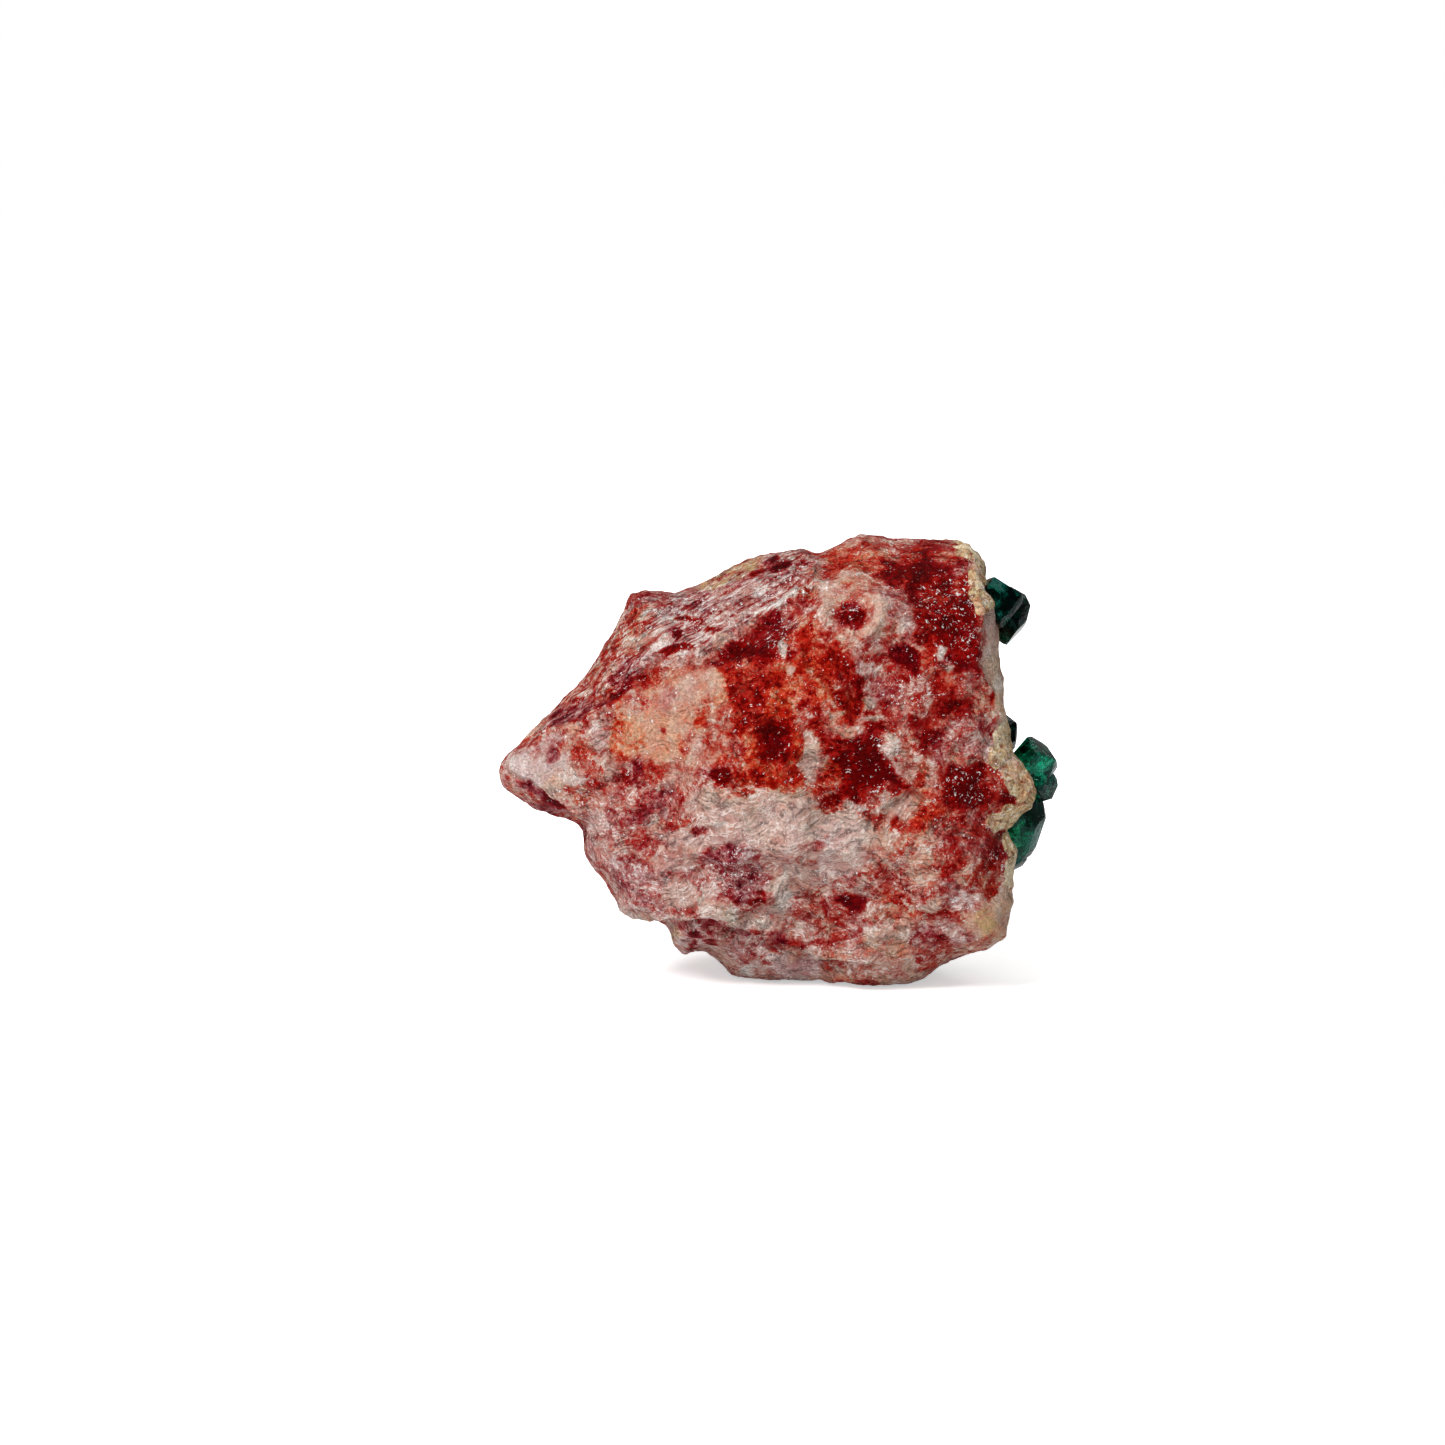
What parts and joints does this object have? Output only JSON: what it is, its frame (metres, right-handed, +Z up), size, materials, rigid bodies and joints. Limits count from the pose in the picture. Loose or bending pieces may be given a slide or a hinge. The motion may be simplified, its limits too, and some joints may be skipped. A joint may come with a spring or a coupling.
{
  "type": "dioptase specimen",
  "caption": "Standing mineral specimen: broken lump of red-stained calcite matrix, pointed at one end, with glassy green dioptase crystals on its opposite face.",
  "frame": {"origin": "on the flat foot, at the surface that the specimen stands on, below the widest part of the stone", "axes": "+X towards the crystal face, away from the pointed end; -Y is the broad stone face; +Z up"},
  "size_m": [0.0649, 0.0385, 0.0519],
  "materials": {
    "stone": "mottled red, pink and cream calcite, waxy, with pale crust on the crystal face",
    "dioptase": "clear deep green crystal with flat glassy faces"
  },
  "bodies": {
    "root": {"dioptase_bright_pair": "dioptase", "dioptase_centre_group": "dioptase", "dioptase_dark_sliver": "dioptase", "dioptase_far_pair": "dioptase", "dioptase_foot_group": "dioptase", "dioptase_low_prism": "dioptase", "dioptase_low_single": "dioptase", "dioptase_near_single": "dioptase", "dioptase_small_pair": "dioptase", "dioptase_top_group": "dioptase", "dioptase_upper_pair": "dioptase", "matrix_rock": "stone"}
  },
  "joints": []
}
